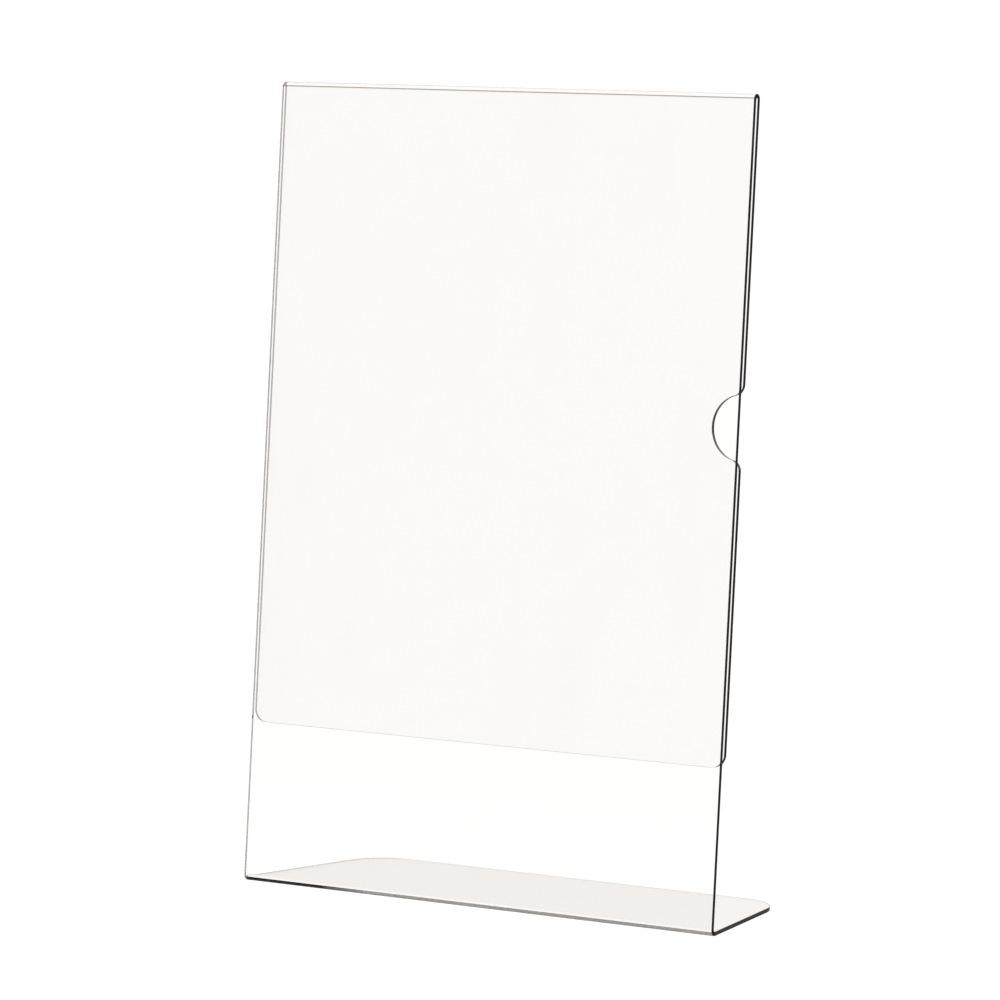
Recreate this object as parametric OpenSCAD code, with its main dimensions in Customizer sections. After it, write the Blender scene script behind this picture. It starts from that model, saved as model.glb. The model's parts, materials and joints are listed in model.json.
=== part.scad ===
// Clear photo album stand: one strip of transparent sheet, bent twice.
//
// The strip is followed from its foot upwards.  A tapered foot lies on the table.
// A tight bend at its front edge, the heel, turns the strip up into a tall face that
// leans back a little.  A hairpin fold at the top turns it down again behind the
// face.  The part behind the face is the flap, and the narrow pocket between the two
// holds the print.  A half-round notch in the flap's right edge bares the print, so
// that a finger can slide it out.
//
// Millimetres, +Z up, +Y to the rear.  The origin is on the table, under the middle
// of the stand's width and depth.

/* [Print] */
// Width of the print, which is also the width of the sheet
print_w = 148; // [90:1:210]
// Height of the print
print_h = 210; // [130:1:297]
// Spare height above the print, inside the pocket
print_play = 0.3; // [0.2:0.1:2]

/* [Sheet] */
// Thickness of the clear sheet
sheet_t = 1.1; // [0.7:0.1:1.5]
// Clear gap of the pocket, between the face and the flap
pocket_gap = 0.6; // [0.4:0.1:1.5]
// Angle by which the face leans back from upright
lean = 5; // [2:0.5:12]

/* [Foot] */
// Depth of the stand on the table, from the heel to the rear edge
foot_depth = 48; // [35:0.5:80]
// Amount by which each side of the foot closes in towards its rear edge
foot_taper = 9.5; // [4:0.5:18]
// Radius of the foot's two rear corners
foot_corner_r = 13; // [6:0.5:16]
// Inside radius of the bend at the heel
heel_r = 0.5; // [0.3:0.1:3]

/* [Flap] */
// Height of the flap's lower edge above the heel bend, measured along the face
flap_rise = 40.8; // [25:0.1:70]
// Radius of the flap's two lower corners
flap_corner_r = 3.5; // [1.5:0.5:8]
// Length of the spring leg, the part of the flap that stays with the fold
fold_leg = 16; // [8:1:30]
// Radius of the finger notch, a half round centred on the flap's right edge
notch_r = 8.4; // [6:0.1:12]
// Height of the notch's centre above the flap's lower edge
notch_rise = 86; // [30:1:100]
// Radius that eases the notch into the flap's edge
notch_entry_r = 3; // [1:0.5:4]

/* [Hidden] */

$fn = 96;
cut_over = 1;                   // overshoot that keeps a cutter clear of a shared face
half_w = print_w / 2;
heel_outer_r = heel_r + sheet_t;
fold_r = pocket_gap / 2;        // inside radius of the hairpin fold
fold_outer_r = fold_r + sheet_t;
clear_tint = [0.93, 0.94, 0.93, 0.45];

// The centre of the heel bend, in the stand's side view
heel_y = heel_outer_r - foot_depth / 2;
heel_z = heel_outer_r;

// The face's own frame has its origin at the heel bend's centre, and its z runs up
// the face.  Seen from there, these are the y places of the four sheet surfaces.
panel_front_y = -heel_outer_r;
panel_back_y = -heel_r;
flap_front_y = panel_back_y + pocket_gap;
flap_back_y = flap_front_y + sheet_t;

// The print stands on the foot, heel_r below that frame's origin, and reaches up to
// the inside of the fold
panel_len = print_h + print_play - heel_r - fold_r;
swing_z = panel_len - fold_leg; // height of the line about which the flap swings

// The rear corners of the foot, before they are rounded, and where the round starts
foot_flat = foot_depth - heel_outer_r;
foot_rear_y = heel_y + foot_flat;
foot_rear_x = half_w - foot_taper;
foot_side_angle = atan(foot_taper / foot_flat);
foot_round_reach = foot_corner_r * tan((90 - foot_side_angle) / 2);

// Places its children in the face's own frame
module along_face() {
    translate([0, heel_y, heel_z])
        rotate([-lean, 0, 0])
            children();
}

// Extrudes a side view, drawn as [y, z], across the full width of the sheet
module across_width() {
    rotate([90, 0, 90])
        linear_extrude(height = print_w, center = true)
            children();
}

// Extrudes a front view, drawn as [x, z], from the y place of one surface to another
module through_sheet(from_y, to_y) {
    translate([0, to_y, 0])
        rotate([90, 0, 0])
            linear_extrude(height = to_y - from_y)
                children();
}

// One bend of the sheet in side view, from one angle to another, counted from +y
module bend_outline(inner_r, from_angle, to_angle) {
    reach = 2 * (inner_r + sheet_t);
    steps = 3;
    turn = (to_angle - from_angle) / steps;
    rays = [for (i = [0:steps]) from_angle + i * turn];
    intersection() {
        difference() {
            circle(inner_r + sheet_t);
            circle(inner_r);
        }
        polygon(concat([[0, 0]], [for (a = rays) reach * [cos(a), sin(a)]]));
    }
}

// The waste that rounds one rear corner of the foot: a kite with its tip at the
// corner, less the circle that touches the side edge and the rear edge
module foot_corner_waste() {
    corner = [foot_rear_x, foot_rear_y];
    down_side = [sin(foot_side_angle), -cos(foot_side_angle)];
    side_touch = corner + foot_round_reach * down_side;
    rear_touch = corner - [foot_round_reach, 0];
    centre = rear_touch - [0, foot_corner_r];
    difference() {
        polygon([
            centre,
            side_touch,
            side_touch + [cut_over, 0],
            corner + [cut_over, cut_over],
            rear_touch + [0, cut_over],
        ]);
        translate(centre)
            circle(foot_corner_r);
    }
}

// The flat foot in plan, from the end of the heel bend to the rear edge
module foot_outline() {
    difference() {
        polygon([
            [-half_w, heel_y],
            [half_w, heel_y],
            [foot_rear_x, foot_rear_y],
            [-foot_rear_x, foot_rear_y],
        ]);
        foot_corner_waste();
        mirror([1, 0])
            foot_corner_waste();
    }
}

// The waste that rounds one lower corner of the flap
module flap_corner_waste() {
    inset = half_w - flap_corner_r;
    round_z = flap_rise + flap_corner_r;
    difference() {
        translate([inset, flap_rise - cut_over])
            square([flap_corner_r + cut_over, flap_corner_r + cut_over]);
        translate([inset, round_z])
            circle(flap_corner_r);
    }
}

// The finger notch: a round bite, and a throat whose two lips are eased into the edge
module notch_waste() {
    lip_z = sqrt(pow(notch_r + notch_entry_r, 2) - pow(notch_entry_r, 2));
    translate([half_w, flap_rise + notch_rise]) {
        circle(notch_r);
        difference() {
            polygon([
                [0, 0],
                [-notch_entry_r, lip_z],
                [cut_over, lip_z],
                [cut_over, -lip_z],
                [-notch_entry_r, -lip_z],
            ]);
            for (side = [-1, 1])
                translate([-notch_entry_r, side * lip_z])
                    circle(notch_entry_r);
        }
    }
}

// The flap in front view
module flap_outline() {
    difference() {
        translate([-half_w, flap_rise])
            square([print_w, swing_z - flap_rise]);
        flap_corner_waste();
        mirror([1, 0])
            flap_corner_waste();
        notch_waste();
    }
}

// The foot that lies flat on the table and carries the stand
module base_plate() {
    color(clear_tint)
        linear_extrude(height = sheet_t)
            foot_outline();
}

// The tight bend that turns the foot up into the face.  It passes upright by the
// lean, so it runs from straight down round the front to the foot of the face.
module heel_bend() {
    color(clear_tint)
        translate([0, heel_y, heel_z])
            across_width()
                bend_outline(heel_r, 180 - lean, 270);
}

// The tall face in front of the print
module front_panel() {
    color(clear_tint)
        along_face()
            through_sheet(panel_front_y, panel_back_y)
                translate([-half_w, 0])
                    square([print_w, panel_len]);
}

// The hairpin fold over the top edge of the print, with the spring leg behind it
module top_fold() {
    color(clear_tint)
        along_face()
            translate([0, panel_back_y + fold_r, panel_len])
                across_width() {
                    bend_outline(fold_r, 0, 180);
                    translate([fold_r, -fold_leg])
                        square([sheet_t, fold_leg]);
                }
}

// The flap behind the print, with the finger notch in its right edge.  It swings
// about the line where its rear surface leaves the spring leg.
module rear_flap() {
    color(clear_tint)
        along_face()
            through_sheet(flap_front_y, flap_back_y)
                flap_outline();
}

base_plate();
heel_bend();
front_panel();
top_fold();
rear_flap();
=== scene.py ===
# %% [markdown]
# # A clear photo stand, bent from one strip of plastic
#
# The real stand is a single strip of clear sheet.  It is cut flat, its edges are eased,
# and then it is warmed along two lines and bent: once at the heel, where the foot turns up
# into the tall face, and once at the top, where the face folds down behind itself and
# becomes the flap.  The gap between face and flap is the pocket for the print.
#
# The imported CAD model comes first, because every size below is read from it.  Its box is
# kept before anything is added, so that the finished piece can be held against it.

import json
import math

import bpy
import numpy as np
from mathutils import Euler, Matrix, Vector


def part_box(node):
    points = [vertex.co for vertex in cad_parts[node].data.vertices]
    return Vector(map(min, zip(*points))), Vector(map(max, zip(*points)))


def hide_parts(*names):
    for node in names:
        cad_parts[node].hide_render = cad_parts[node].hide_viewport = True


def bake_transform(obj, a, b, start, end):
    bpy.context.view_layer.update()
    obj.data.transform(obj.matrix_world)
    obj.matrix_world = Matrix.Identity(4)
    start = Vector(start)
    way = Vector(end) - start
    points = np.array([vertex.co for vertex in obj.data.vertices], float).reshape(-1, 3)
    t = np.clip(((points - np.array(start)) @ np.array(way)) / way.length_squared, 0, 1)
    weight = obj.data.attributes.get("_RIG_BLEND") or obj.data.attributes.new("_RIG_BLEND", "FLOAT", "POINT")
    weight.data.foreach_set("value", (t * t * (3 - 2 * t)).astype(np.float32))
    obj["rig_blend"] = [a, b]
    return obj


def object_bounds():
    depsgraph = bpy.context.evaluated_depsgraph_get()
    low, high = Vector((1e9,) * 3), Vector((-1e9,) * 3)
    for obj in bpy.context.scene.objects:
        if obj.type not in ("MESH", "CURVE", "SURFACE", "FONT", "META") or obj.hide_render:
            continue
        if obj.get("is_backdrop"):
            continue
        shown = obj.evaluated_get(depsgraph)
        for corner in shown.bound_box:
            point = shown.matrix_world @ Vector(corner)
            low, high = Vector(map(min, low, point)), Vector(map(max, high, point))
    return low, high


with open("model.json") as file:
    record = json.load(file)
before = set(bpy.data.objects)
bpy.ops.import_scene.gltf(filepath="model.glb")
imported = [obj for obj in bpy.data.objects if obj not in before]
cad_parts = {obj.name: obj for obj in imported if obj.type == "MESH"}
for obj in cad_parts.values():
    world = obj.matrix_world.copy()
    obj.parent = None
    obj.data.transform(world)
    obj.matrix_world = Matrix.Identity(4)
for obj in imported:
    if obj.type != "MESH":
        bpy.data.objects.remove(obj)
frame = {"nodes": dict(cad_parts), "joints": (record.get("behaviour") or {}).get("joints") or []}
cad_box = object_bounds()
cad_low, cad_high = (np.array(corner, float) for corner in cad_box)
print("CAD box in mm:", np.round((cad_high - cad_low) * 1000, 2))

MM = 0.001

# %% [markdown]
# ## Reading the strip out of the frame
#
# The CAD model cuts the strip into five zones, and each zone's box gives a size away.  The
# foot's height is the sheet's thickness.  The heel's depth is its outside radius.  The
# lean of the face hides in its box, because a leaning plate is a little deeper than it is
# thick.  The angle is found by trying: each round starts from the last round's angle, and
# they soon agree.

# %% Thickness, heel and lean
LEAN_ROUNDS = 20


def size_of(node):
    low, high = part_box(node)
    return np.array(high - low)


def lean_of(node, thickness):
    """The angle and the length of a leaning plate, from its box."""
    _, depth, height = size_of(node)
    angle = 0.0
    for _ in range(LEAN_ROUNDS):
        angle = math.atan2(depth - thickness * math.cos(angle), height - thickness * math.sin(angle))
    return angle, (height - thickness * math.sin(angle)) / math.cos(angle)


sheet = size_of("base_plate")[2]
half_sheet = sheet / 2
half_width = size_of("front_panel")[0] / 2
heel_outer = size_of("heel_bend")[1]
heel_middle = heel_outer - half_sheet
heel_y = cad_low[1] + heel_outer
foot_flat = size_of("base_plate")[1]
lean, face_length = lean_of("front_panel", sheet)
print(f"sheet {sheet / MM:.2f} mm, heel {heel_outer / MM:.2f} mm outside, foot {foot_flat / MM:.2f} mm")
print(f"lean {math.degrees(lean):.2f} degrees, face {face_length / MM:.2f} mm long")

# %% [markdown]
# The flap hangs parallel to the face.  Turned into the face's own frame, the corner of its
# box tells how far behind the face it is, which gives the radius of the hairpin fold, and
# how far above the heel it ends.  The swing line comes from the record's one joint.

# %% Flap, fold and swing line


def seen_from_face(y, z):
    """A place in side view, turned into the frame whose z runs up the face from the heel."""
    y, z = y - heel_y, z - heel_outer
    return y * math.cos(lean) - z * math.sin(lean), y * math.sin(lean) + z * math.cos(lean)


flap_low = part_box("rear_flap")[0]
flap_front, flap_end = seen_from_face(flap_low.y, flap_low.z + sheet * math.sin(lean))
fold_inner = (flap_front + heel_outer - sheet) / 2
fold_middle = fold_inner + half_sheet
joint = frame["joints"][0]
swing_y, swing_z = joint["pos_m"][1:]
swing_up = seen_from_face(swing_y, swing_z)[1]
print(f"fold {fold_inner / MM:.2f} mm inside, flap ends {flap_end / MM:.2f} mm up the face")
print(f"swing line {(face_length - swing_up) / MM:.2f} mm below the fold")

# %% [markdown]
# ## The path of the strip
#
# In side view the strip is a path of five legs: foot, heel, face, fold and flap.  A small
# turtle walks along the middle of the sheet.  It starts at the foot's rear edge, heads
# for the front, and always turns to its right, so the sheet's outer side is on its left:
# underneath the foot, in front of the face and behind the flap.

# %% Walk along the strip
heel_turn = math.pi / 2 + lean
legs = [
    (foot_flat, 0.0),
    (heel_middle * heel_turn, heel_turn),
    (face_length, 0.0),
    (fold_middle * math.pi, math.pi),
    (face_length - flap_end, 0.0),
]
marks = np.concatenate([[0.0], np.cumsum([length for length, _ in legs])])
foot_to_heel, heel_to_face, face_to_fold, fold_to_flap, strip_end = marks[1:]
swing_mark = fold_to_flap + face_length - swing_up


def walk(distance):
    """Where the middle of the sheet is after that distance, and the heading there."""
    y, z, heading = heel_y + foot_flat, half_sheet, math.pi
    for length, turn in legs:
        part = min(distance, length)
        if turn:
            radius, turned = length / turn, part / length * turn
            y += radius * (math.sin(heading) - math.sin(heading - turned))
            z += radius * (math.cos(heading - turned) - math.cos(heading))
            heading -= turned
        else:
            y += part * math.cos(heading)
            z += part * math.sin(heading)
        distance -= part
        if distance <= 0:
            break
    return y, z, heading


print(f"the flat strip is {strip_end / MM:.1f} mm long and {2 * half_width / MM:.0f} mm wide")

# %% [markdown]
# ## The blank, as it is cut
#
# Laid flat, the strip is a long rectangle that closes in towards the foot's rear edge.
# Its outline is a chain of arcs, and straight cuts join one arc to the next.  Each arc is
# listed by its centre, its radius and its first and last angle.  A negative radius is a
# hollow arc, which only the finger notch has.  Every point keeps the direction that faces
# out of the material, because the edges are eased along it later.
#
# The notch is a half round bite with two small lips that lead into the straight edge, so
# that no sharp corner is left.

# %% Outline of the right and the left side
FOOT_TAPER = 9.5 * MM
FOOT_CORNER = 13 * MM
HEEL_EASE = 4 * MM
FLAP_CORNER = 3.5 * MM
NOTCH = 8.4 * MM
NOTCH_LIP = 3 * MM
NOTCH_UP = 126.8 * MM
FOOT_CORNER_STEPS, HEEL_EASE_STEPS, FLAP_CORNER_STEPS = 24, 4, 12
NOTCH_STEPS, LIP_STEPS = 40, 12

taper_angle = math.atan2(FOOT_TAPER, foot_flat)
corner_reach = FOOT_CORNER * math.tan((math.pi / 2 - taper_angle) / 2)
notch_mark = fold_to_flap + face_length - NOTCH_UP
lip_offset = math.sqrt((NOTCH + NOTCH_LIP) ** 2 - NOTCH_LIP**2)
lip_angle = math.atan2(lip_offset, NOTCH_LIP)


def arc(centre_x, centre_s, radius, first, last, steps):
    """Points on an arc as rows of x, s and the two parts of the outward direction."""
    angle = np.linspace(first, last, steps + 1)
    out = np.sign(radius) * np.stack([np.cos(angle), np.sin(angle)], 1)
    return np.hstack([[centre_x, centre_s] + radius * out, out])


foot_corner_x = half_width - FOOT_TAPER - corner_reach
foot_corner = arc(
    foot_corner_x, FOOT_CORNER, FOOT_CORNER, -math.pi / 2, -taper_angle, FOOT_CORNER_STEPS
)
heel_corner_s = foot_to_heel + HEEL_EASE * math.tan(taper_angle / 2)
heel_corner_x = half_width - HEEL_EASE
heel_corner = arc(heel_corner_x, heel_corner_s, HEEL_EASE, -taper_angle, 0, HEEL_EASE_STEPS)
lip_x = half_width - NOTCH_LIP
lip_in = arc(lip_x, notch_mark - lip_offset, NOTCH_LIP, 0, lip_angle, LIP_STEPS)
bite = arc(half_width, notch_mark, -NOTCH, math.pi + lip_angle, math.pi - lip_angle, NOTCH_STEPS)
lip_out = arc(lip_x, notch_mark + lip_offset, NOTCH_LIP, -lip_angle, 0, LIP_STEPS)
notch = np.vstack([lip_in, bite[1:], lip_out[1:]])
flap_corner_x, flap_corner_s = half_width - FLAP_CORNER, strip_end - FLAP_CORNER
flap_corner = arc(flap_corner_x, flap_corner_s, FLAP_CORNER, 0, math.pi / 2, FLAP_CORNER_STEPS)
print(f"taper {math.degrees(taper_angle):.2f} degrees, notch opens {2 * lip_offset / MM:.1f} mm wide")

# %% [markdown]
# ## The grid of the sheet
#
# Now the blank gets its rows.  A row runs straight across from the left side to the right
# side, so the mesh needs a row wherever either outline turns.  It also needs close rows
# where the strip will be bent, and about one row for each millimetre beside the swing
# line, because the flap flexes there.  Along the flat stretches the rows can be far apart.
# The levels are rounded to a nanometre, so that a row which two rules ask for is made once.

# %% Rows of the blank
HEEL_ROWS = 44
FOLD_ROWS = 64
FLEX = 8 * MM
FLAT_STEP = 7 * MM
LEVEL_DIGITS = 9

right_side = np.vstack([foot_corner, heel_corner, notch, flap_corner])
left_side = np.vstack([foot_corner, heel_corner, flap_corner]) * [-1, 1, -1, 1]


def spaced(first, last, step):
    """Evenly spaced places, about one step apart."""
    return np.linspace(first, last, max(2, round((last - first) / step) + 1))


close_rows = [
    right_side[:, 1],
    np.linspace(foot_to_heel, heel_to_face, HEEL_ROWS + 1),
    np.linspace(face_to_fold, fold_to_flap, FOLD_ROWS + 1),
    spaced(swing_mark - FLEX, swing_mark + FLEX, MM),
]
rows = np.unique(np.round(np.concatenate(close_rows), LEVEL_DIGITS))
fill = [spaced(a, b, FLAT_STEP)[1:-1] for a, b in zip(rows[:-1], rows[1:]) if b - a > FLAT_STEP]
rows = np.unique(np.concatenate([rows, *fill]))
print(f"{len(rows)} rows, {len(right_side)} points on the right outline")

# %% [markdown]
# Each row then gets its two ends, read off the outlines, and evenly spaced columns between
# them.  Walking round the outside of this grid gives the rim of the blank.

# %% Grid and rim
COLUMNS = 12


def outline_at(side, levels):
    """The outline's points and directions at the level of each row."""
    read = np.stack([np.interp(levels, side[:, 1], side[:, part]) for part in range(4)], 1)
    read[:, 1] = levels
    return read


right_end, left_end = outline_at(right_side, rows), outline_at(left_side, rows)
across = np.linspace(0, 1, COLUMNS + 1)
n_rows, n_columns = len(rows), COLUMNS + 1
last_row, last_column = n_rows - 1, n_columns - 1
border = (
    [(row, last_column) for row in range(n_rows)]
    + [(last_row, column) for column in range(last_column - 1, -1, -1)]
    + [(row, 0) for row in range(last_row - 1, -1, -1)]
    + [(0, column) for column in range(1, last_column)]
)
edge = left_end[:, None] + (right_end - left_end)[:, None] * across[None, :, None]
edge[0, :, 2:], edge[last_row, :, 2:] = (0, -1), (0, 1)
rim = np.array([edge[place] for place in border])
print(f"{n_rows} by {n_columns} points, {len(rim)} of them on the rim")

# %% [markdown]
# The grid is used twice, once for the outer side of the sheet and once for the inner side,
# and both copies stop short of the outline by the radius of the eased edge.  Between them
# a border of narrow rings turns round the cut edge: a quarter round, the flat of the cut,
# and a quarter round again.  No real edge is perfectly sharp.  The round also gives the
# directions room to turn from the face's to the cut's, because a point has only one.

# %% Points and directions of the skin
EASE = 0.05 * MM
EASE_STEPS = 4


def eased(outline, amount):
    """Outline points moved into the material."""
    return outline[..., :2] - amount * outline[..., 2:]


inset_left, inset_right = eased(left_end, EASE), eased(right_end, EASE)
grid = inset_left[:, None] + (inset_right - inset_left)[:, None] * across[None, :, None]
flat = grid.reshape(-1, 2)
points, facing = [], []
for side in (1, -1):
    points.append(np.column_stack([flat, np.full(len(flat), side * half_sheet)]))
    facing.append(np.tile([0.0, 0.0, side], (len(flat), 1)))

turns = np.linspace(0, math.pi / 2, EASE_STEPS + 1)[1:]
profile = [(turn, 1) for turn in turns] + [(turn, -1) for turn in turns[::-1]]
for turn, side in profile:
    inset = eased(rim, EASE * (1 - math.sin(turn)))
    depth = side * (half_sheet - EASE * (1 - math.cos(turn)))
    points.append(np.column_stack([inset, np.full(len(rim), depth)]))
    upright = np.full(len(rim), side * math.cos(turn))
    facing.append(np.column_stack([rim[:, 2:] * math.sin(turn), upright]))
points, facing = np.vstack(points), np.vstack(facing)
print(f"{len(points)} points, {len(profile)} rings round the cut edge")

# %% [markdown]
# Every face of the skin has four corners.  The two sides are strung from their grids, and
# each ring is joined to the next, from the rim of the outer side to the rim of the inner
# side.  So the skin closes, and plastic with an inside has to be closed: the renderer
# keeps track of each time that a ray goes in or comes out.

# %% Faces of the skin
n_grid = n_rows * n_columns
outer = np.arange(n_grid).reshape(n_rows, n_columns)
faces = []
for row in range(last_row):
    for column in range(last_column):
        a, b = outer[row, column], outer[row, column + 1]
        c, d = outer[row + 1, column + 1], outer[row + 1, column]
        faces += [(a, b, c, d), (d + n_grid, c + n_grid, b + n_grid, a + n_grid)]

outer_rim = np.array([outer[place] for place in border])
ring_starts = 2 * n_grid + np.arange(len(profile)) * len(rim)
rings = [outer_rim] + [start + np.arange(len(rim)) for start in ring_starts] + [outer_rim + n_grid]
for upper, lower in zip(rings[:-1], rings[1:]):
    faces += list(zip(upper, lower, np.roll(lower, -1), np.roll(upper, -1)))
faces = [tuple(int(i) for i in face) for face in faces]
print(f"{len(faces)} faces")

# %% [markdown]
# ## Bending the blank
#
# Bending is now one formula for every point.  The turtle gives the middle of the sheet and
# its heading; the point goes out sideways from there by its own depth in the sheet.  The
# direction each point faces is bent in the same way and kept as the mesh's own normals.
# Clear plastic shows every error in its normals as a ripple, and these are worked out, not
# averaged from the faces round a point.

# %% Bend it and make the mesh


def bend(points, facing):
    """Points and directions of the flat blank, taken to where bending puts them."""
    bent, normals = np.empty_like(points), np.empty_like(facing)
    for i, ((x, s, depth), (to_x, to_s, to_out)) in enumerate(zip(points, facing)):
        y, z, heading = walk(s)
        ahead = np.array([0, math.cos(heading), math.sin(heading)])
        out = np.array([0, -math.sin(heading), math.cos(heading)])
        bent[i] = np.array([x, y, z]) + depth * out
        normals[i] = np.array([to_x, 0, 0]) + to_s * ahead + to_out * out
    return bent, normals


bent, normals = bend(points, facing)
mesh = bpy.data.meshes.new("clear_strip")
mesh.from_pydata(bent.tolist(), [], faces)
mesh.shade_smooth()
mesh.normals_split_custom_set_from_vertices(normals.tolist())
strip = bpy.data.objects.new("clear_strip", mesh)
bpy.context.scene.collection.objects.link(strip)
print("nothing to mend in the mesh:", not mesh.validate())

# %% [markdown]
# ## Letting the flap swing
#
# The strip stands for all five zones of the CAD model.  The flap can be pulled away from
# the face, and on the real stand nothing hinges: the plastic itself flexes below the fold.
# So the strip is one piece that belongs to two bodies.  It follows the stand up to just
# above the swing line, it follows the flap just below it, and it bends in between.  The
# blend is laid down the flap, so the foot, the face and the fold are then set back to the
# stand alone, since they share the flap's heights.

# %% Tie the strip to both bodies


def middle_at(mark):
    """The middle of the sheet, half way across, after that distance."""
    y, z, _ = walk(mark)
    return 0.0, y, z


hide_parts(*frame["nodes"])
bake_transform(strip, "stand", "flap", start=middle_at(swing_mark - FLEX), end=middle_at(swing_mark + FLEX))
shares = strip.data.attributes["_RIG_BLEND"].data
share = np.empty(len(shares), np.float32)
shares.foreach_get("value", share)
share[points[:, 1] < fold_to_flap] = 0
shares.foreach_set("value", share)
print(f"{(share == 0).sum()} points stay with the stand, {(share == 1).sum()} go with the flap")

# %% [markdown]
# ## How dark each edge is
# ## How much shade is painted on each edge
# Light that runs inside clear sheet for a hand's width is soaked up on the way, and a sawn
# edge lets little of it out again.  So the edges of clear sheet look nearly black, although
# its faces look like nothing at all.  That darkness is light and shade, and here it is
# painted shade: a point attribute says, point by point, how much dark colour is painted on:
# nothing on the faces, and the full amount along the two long sides.
#
# The two ends of the strip get less painted shade, and that shows at the heel.  The line of
# sight into its lower edge runs on inside the foot, as light does in a fibre, and comes out
# at the foot's rear end.  So the heel is grey along most of its length.  It turns black near
# one corner only, where the same line meets the side of the foot instead.  Here that grey and
# that black are painted shade.

# %% Painted shade of the cut edges
# painted shade at the foot's rear end and at the flap's end, out of a full 1 on the long sides
FOOT_END_SHADE, FLAP_END_SHADE = 0.3, 0.1

end_painted_shade = np.where(rim[:, 3] > 0, FLAP_END_SHADE, FOOT_END_SHADE)
rim_painted_shade = end_painted_shade + (1 - end_painted_shade) * np.abs(rim[:, 2])
# painted shade per point: none on the two faces, the rim's amount on every ring round the cut edge
cut = np.zeros(len(points), np.float32)
cut[2 * n_grid :] = np.tile(rim_painted_shade, len(profile))
mesh.attributes.new("edge_painted_shade", "FLOAT", "POINT").data.foreach_set("value", cut)
print(f"darkness of the rim from {rim_painted_shade.min():.2f} to {rim_painted_shade.max():.2f}")

# %% [markdown]
# ## Helpers for shader nodes
#
# A finish is written as sums below, and two small classes turn those sums into nodes.  A
# Wire is one output of a node; adding, subtracting or multiplying wires adds Math nodes.
# A Bench adds any other node: its settings are set first, and then its sockets.

# %% Wire and Bench


class Wire:
    """One output of a node, which can be used in sums like a number."""

    def __init__(self, bench, socket):
        self.bench, self.socket = bench, socket

    def _sum(self, operation, first, second):
        return self.bench.add("ShaderNodeMath", {"operation": operation}, {0: first, 1: second})["Value"]

    def __add__(self, other):
        return self._sum("ADD", self, other)

    def __rsub__(self, other):
        return self._sum("SUBTRACT", other, self)

    def __mul__(self, other):
        return self._sum("MULTIPLY", self, other)

    __radd__, __rmul__ = __add__, __mul__


class Bench:
    """Adds nodes to the node tree of one material or world."""

    def __init__(self, owner):
        owner.use_nodes = True
        self.tree = owner.node_tree
        self.tree.nodes.clear()

    def add(self, kind, settings, sockets):
        node = self.tree.nodes.new(kind)
        for name, value in settings.items():
            setattr(node, name, value)
        for key, value in sockets.items():
            if isinstance(value, Wire):
                self.tree.links.new(value.socket, node.inputs[key])
            else:
                node.inputs[key].default_value = value
        return {output.name: Wire(self, output) for output in node.outputs if output.enabled}


print("a Wire holds one output, a Bench holds one tree")

# %% [markdown]
# Four nodes are used again and again: a cloud of noise, a stretched set of coordinates, a
# smooth step between two levels, and a mix of two colours.  Each gets a helper, which
# takes the bench that it works on.

# %% Noise, stretch, step and mix


def noise(bench, coordinates, scale, detail, roughness=0.5):
    sockets = {"Vector": coordinates, "Scale": scale, "Detail": detail, "Roughness": roughness}
    return bench.add("ShaderNodeTexNoise", {"noise_dimensions": "3D"}, sockets)["Fac"]


def stretched(bench, coordinates, scale, turn):
    sockets = {"Vector": coordinates, "Scale": scale, "Rotation": (0.0, turn, 0.0)}
    return bench.add("ShaderNodeMapping", {"vector_type": "POINT"}, sockets)["Vector"]


def step(bench, value, low, high):
    """0 below low, 1 above high, and smooth between."""
    settings = {"interpolation_type": "SMOOTHSTEP", "clamp": True}
    sockets = {"Value": value, "From Min": low, "From Max": high, "To Min": 0.0, "To Max": 1.0}
    return bench.add("ShaderNodeMapRange", settings, sockets)["Result"]


def mix(bench, amount, first, second):
    """The first colour where the amount is 0, the second where it is 1."""
    return bench.add("ShaderNodeMix", {"data_type": "RGBA"}, {0: amount, 6: first, 7: second})["Result"]


print("four helpers ready")

# %% [markdown]
# ## The clear plastic
#
# The finish of the faces comes from handling and from the film that they were made on:
# faint smears, very fine rubbed lines that run up and down, and a slow waviness of the
# surface.  All three are clouds of noise.  Smears are a cloud a few centimetres across,
# and rubbed lines are a cloud that is squeezed until only threads are left.

# %% Wear of the faces
SMEAR_SCALE, SMEAR_SHAPE, SMEAR_TURN = 38.0, (1.0, 1.0, 0.45), 0.6
LINE_SCALE, LINE_SHAPE, LINE_TURN = 14.0, (90.0, 90.0, 2.2), 0.25
WAVE_SCALE = 30.0
SMEAR_STARTS, SMEAR_FULL = 0.52, 0.75
LINE_STARTS, LINE_FULL = 0.66, 0.74
BROKEN_UP, SMOOTH = 4.0, 2.0
SMEAR_GRAIN = 0.6

plastic = bpy.data.materials.new("clear_plastic")
bench = Bench(plastic)
place = bench.add("ShaderNodeTexCoord", {}, {})["Object"]
smear_place = stretched(bench, place, SMEAR_SHAPE, SMEAR_TURN)
line_place = stretched(bench, place, LINE_SHAPE, LINE_TURN)
smear_cloud = noise(bench, smear_place, SMEAR_SCALE, BROKEN_UP, SMEAR_GRAIN)
line_cloud = noise(bench, line_place, LINE_SCALE, SMOOTH)
smears = step(bench, smear_cloud, SMEAR_STARTS, SMEAR_FULL)
rubbed = step(bench, line_cloud, LINE_STARTS, LINE_FULL)
waviness = noise(bench, place, WAVE_SCALE, SMOOTH)
print(f"smears about {1000 / SMEAR_SCALE:.0f} mm across, waves about {1000 / WAVE_SCALE:.0f} mm long")
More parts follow.
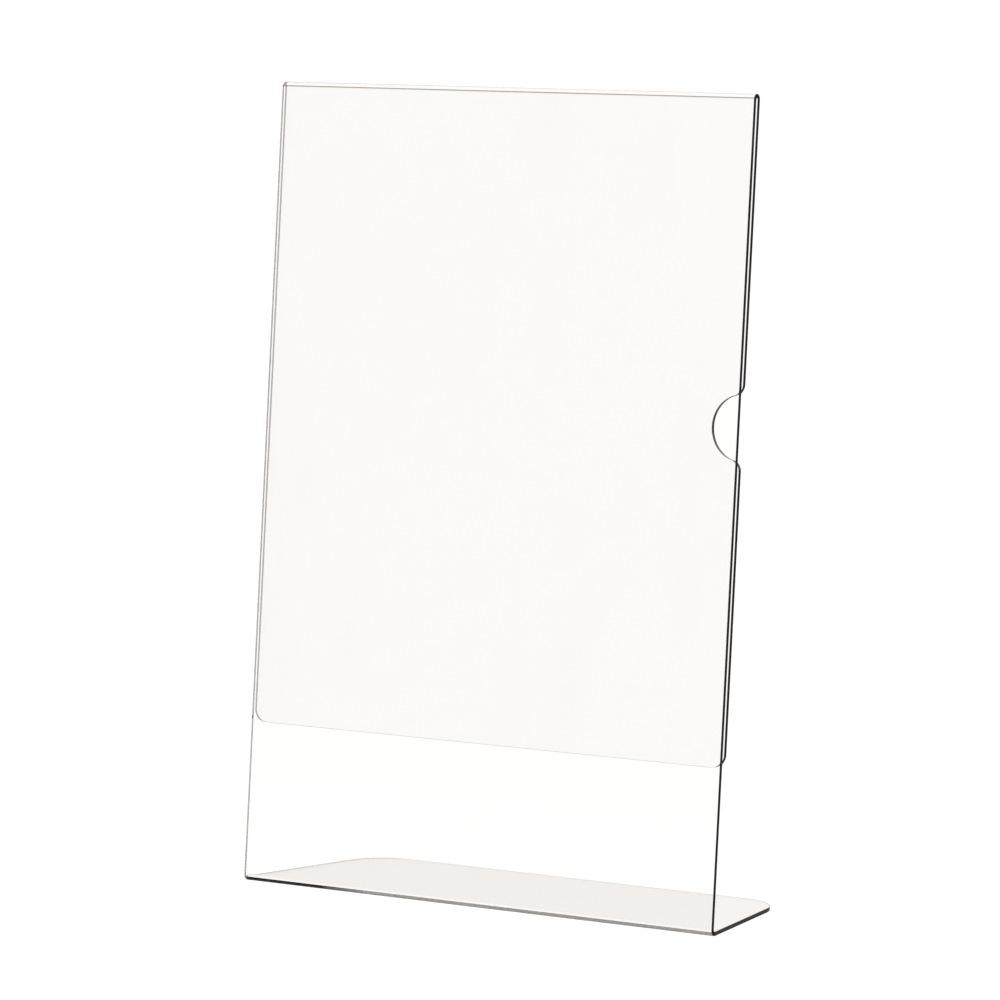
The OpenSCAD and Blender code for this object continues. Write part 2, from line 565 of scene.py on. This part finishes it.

# %% [markdown]
# The surface is glass-like: it refracts and reflects, with hardly any colour.  On the cut
# edges the attribute mixes in a very dark colour, and a share of the surface is shut to
# light, which a dark metal does best.  Both are painted shade, standing in for the dark look
# of the edges.  Inside, a weak absorption takes the light out of the long paths: it is next
# to nothing across the sheet's thickness, and a lot across the width of the stand.  Smears
# and rubbed lines make the polish a little rougher, and the waviness and the lines stand
# out as a relief that is finer than the mesh could hold.

# %% Surface and inside of the plastic
CLEAR = (1.0, 0.998, 0.996, 1.0)
SMEARED = (0.99, 0.986, 0.98, 1.0)
# painted shade: the near-black colour laid on the cut edges, and the metallic share that shuts them to light
PAINTED_SHADE_COLOUR = (0.036, 0.028, 0.024, 1.0)
PAINTED_SHADE_METALLIC = 0.58
ABSORBED, ABSORPTION = (0.36, 0.33, 0.30, 1.0), 20.0
REFRACTION = 1.49
POLISH, SMEAR_DULL, LINE_DULL, CUT_DULL = 0.01, 0.03, 0.04, 0.1
SMEAR_SHARE, LINE_SHARE = 0.6, 0.4
RELIEF, RELIEF_DEPTH, LINE_DEPTH = 0.1, 0.02 * MM, 0.05

edge_painted_shade = bench.add("ShaderNodeAttribute", {"attribute_name": "edge_painted_shade"}, {})["Fac"]
face_tint = mix(bench, SMEAR_SHARE * smears + LINE_SHARE * rubbed, CLEAR, SMEARED)
relief = {"Strength": RELIEF, "Distance": RELIEF_DEPTH, "Height": waviness + LINE_DEPTH * rubbed}
sockets = {
    # the base colour turns to painted shade where the edge attribute is 1; the smears and rubbed lines are
    # real wear
    "Base Color": mix(bench, edge_painted_shade, face_tint, PAINTED_SHADE_COLOUR),
    "Roughness": POLISH + SMEAR_DULL * smears + LINE_DULL * rubbed + CUT_DULL * edge_painted_shade,
    "Metallic": PAINTED_SHADE_METALLIC * edge_painted_shade,
    "IOR": REFRACTION,
    "Transmission Weight": 1.0,
    "Normal": bench.add("ShaderNodeBump", {}, relief)["Normal"],
}
surface = bench.add("ShaderNodeBsdfPrincipled", {"distribution": "GGX"}, sockets)["BSDF"]
soaking = {"Color": ABSORBED, "Density": ABSORPTION}
inside = bench.add("ShaderNodeVolumeAbsorption", {}, soaking)["Volume"]
bench.add("ShaderNodeOutputMaterial", {}, {"Surface": surface, "Volume": inside})
mesh.materials.append(plastic)
left_over = [math.exp(-ABSORPTION * (1 - ABSORBED[1]) * path) for path in (sheet, 2 * half_width)]
print("light left after the sheet's thickness {:.2f}, after its width {:.2f}".format(*left_over))

# %% [markdown]
# ## The light table
#
# Clear things are shown on a light table: a wide pale floor that glows evenly, so nothing
# that stands on it throws a shadow.  It reaches so far that its end lies at the horizon.
# It lies a hair below the foot, because two surfaces in exactly one place would quarrel
# over which of them a ray meets first.
#
# A light table would also fill every reflection with white, and the edges and the pocket
# would disappear.  So it is bright where it is looked at, directly or through the plastic,
# and dim where it is only mirrored in a surface.  Cycles calls a rough refraction glossy
# too, so a mirrored ray is one that is glossy and is not a transmission.

# %% Light table
TABLE_GLOW = (1.078, 1.062, 1.051, 1.0)
TABLE_MIRRORED = (0.3, 0.3, 0.3, 1.0)
FLOOR_REACH = 60.0
FLOOR_GAP = 0.1 * MM


def sheet_of_light(name, corners):
    """A flat stage piece with four corners, and the bench of its material."""
    piece_mesh = bpy.data.meshes.new(name)
    piece_mesh.from_pydata(corners, [], [(0, 1, 2, 3)])
    piece_mesh.materials.append(bpy.data.materials.new(name))
    piece = bpy.data.objects.new(name, piece_mesh)
    bpy.context.scene.collection.objects.link(piece)
    piece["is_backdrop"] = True
    return piece, Bench(piece_mesh.materials[0])


def shine(bench, colour):
    lamp = bench.add("ShaderNodeEmission", {}, {"Color": colour, "Strength": 1.0})["Emission"]
    bench.add("ShaderNodeOutputMaterial", {}, {"Surface": lamp})


def table_light(bench):
    """The table's glow, or its dim mirrored light for rays that were only mirrored."""
    path = bench.add("ShaderNodeLightPath", {}, {})
    mirrored = path["Is Glossy Ray"] * (1 - path["Is Transmission Ray"])
    return mix(bench, mirrored, TABLE_GLOW, TABLE_MIRRORED)


floor_z = cad_low[2] - FLOOR_GAP
square = [(-1, -1), (1, -1), (1, 1), (-1, 1)]
spread = [(FLOOR_REACH * x, FLOOR_REACH * y, floor_z) for x, y in square]
table, bench = sheet_of_light("light_table", spread)
shine(bench, table_light(bench))
print(f"the table glows at {TABLE_GLOW[:3]} and is {2 * FLOOR_REACH:.0f} m wide")

# %% [markdown]
# ## The curtain
#
# The faces mirror what is in front of the stand and to its left.  A grey curtain hangs
# there.  Each layer of plastic then swaps a little of the white behind it for grey, so
# that the pocket, with its two layers, is a shade darker than the single sheet below it.
# The curtain itself is hidden from the camera.

# %% Grey curtain
CURTAIN = (0.56, 0.55, 0.54, 1.0)
CURTAIN_AWAY = 1.9
CURTAIN_REACH, CURTAIN_TALL = 4.0, 1.5

hung = [
    (-CURTAIN_REACH, -CURTAIN_AWAY, floor_z),
    (CURTAIN_REACH, -CURTAIN_AWAY, floor_z),
    (CURTAIN_REACH, -CURTAIN_AWAY, floor_z + CURTAIN_TALL),
    (-CURTAIN_REACH, -CURTAIN_AWAY, floor_z + CURTAIN_TALL),
]
curtain, bench = sheet_of_light("curtain", hung)
curtain.visible_camera = False
shine(bench, CURTAIN)
print(f"the curtain is {2 * CURTAIN_REACH:.0f} m wide and {CURTAIN_TALL} m tall")

# %% [markdown]
# ## The room
#
# At the horizon the room is as bright as the table, so the two flow together.  Just above
# it is a warm haze, which the top of the foot mirrors at a flat angle: that is where the
# foot's pale grey comes from.  Higher up the room turns to a dim ceiling.  It is what the
# round parts of the strip mirror, and it draws the thin lines along the fold and the heel.

# %% Haze and ceiling
HAZE = (0.836, 0.80, 0.765, 1.0)
CEILING = (0.34, 0.30, 0.26, 1.0)
HAZE_STARTS, HAZE_FULL = 0.03, 0.12
CEILING_STARTS, CEILING_FULL = 0.32, 0.62

world = bpy.data.worlds.new("room")
bpy.context.scene.world = world
bench = Bench(world)
direction = bench.add("ShaderNodeTexCoord", {}, {})["Generated"]
height = bench.add("ShaderNodeSeparateXYZ", {}, {0: direction})["Z"]
low_down = mix(bench, step(bench, height, HAZE_STARTS, HAZE_FULL), table_light(bench), HAZE)
seen = mix(bench, step(bench, height, CEILING_STARTS, CEILING_FULL), low_down, CEILING)
sky = bench.add("ShaderNodeBackground", {}, {"Color": seen, "Strength": 1.0})["Background"]
bench.add("ShaderNodeOutputWorld", {}, {"Surface": sky})
edges = [math.degrees(math.asin(z)) for z in (HAZE_STARTS, HAZE_FULL, CEILING_STARTS, CEILING_FULL)]
print("haze from {:.0f} to {:.0f} degrees up, ceiling from {:.0f} to {:.0f}".format(*edges))

# %% [markdown]
# ## The camera
#
# The stand is seen from its right, a little from above, with a long lens.  From that side
# the two right-hand edges lie close together and the notch between them is plain to see.
# The camera looks at the front of the face, near its middle.  Light is followed through
# many surfaces, because a ray may bounce along inside the sheet before it gets out.

# %% Camera
CAMERA_TURN = math.radians(34.883)
CAMERA_DIP = math.radians(6.071)
CAMERA_DISTANCE = 1546.1 * MM
AIM_ASIDE = 2.62 * MM
AIM_HEIGHT = 0.4993
LENS = 215.44
BOUNCES = 48
FAR_END = 200.0

face_y = middle_at(heel_to_face + face_length / 2)[1] - half_sheet
aim = Vector((AIM_ASIDE, face_y, AIM_HEIGHT * (cad_high[2] - cad_low[2])))
level = Vector((math.sin(CAMERA_TURN), -math.cos(CAMERA_TURN), 0))
backwards = math.cos(CAMERA_DIP) * level + Vector((0, 0, math.sin(CAMERA_DIP)))
camera = bpy.data.objects.new("camera", bpy.data.cameras.new("camera"))
camera.location = aim + CAMERA_DISTANCE * backwards
camera.rotation_euler = Euler((math.pi / 2 - CAMERA_DIP, 0, CAMERA_TURN))
camera.data.lens = LENS
camera.data.clip_end = FAR_END
scene = bpy.context.scene
scene.collection.objects.link(camera)
scene.camera = camera
scene.view_settings.view_transform = "Standard"
scene.cycles.max_bounces = scene.cycles.transmission_bounces = scene.cycles.glossy_bounces = BOUNCES
print("camera at", np.round(np.array(camera.location) / MM, 1), "aims at", np.round(np.array(aim) / MM, 1))

# %% [markdown]
# ## Last checks
#
# The finished strip has to fill the same box as the CAD model.

# %% Sizes of the finished strip
bpy.context.view_layer.update()
visual_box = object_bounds()
past = [(np.array(visual) - np.array(cad)) / MM for cad, visual in zip(cad_box, visual_box)]
print("difference in mm:", [np.round(corner, 3).tolist() for corner in past])
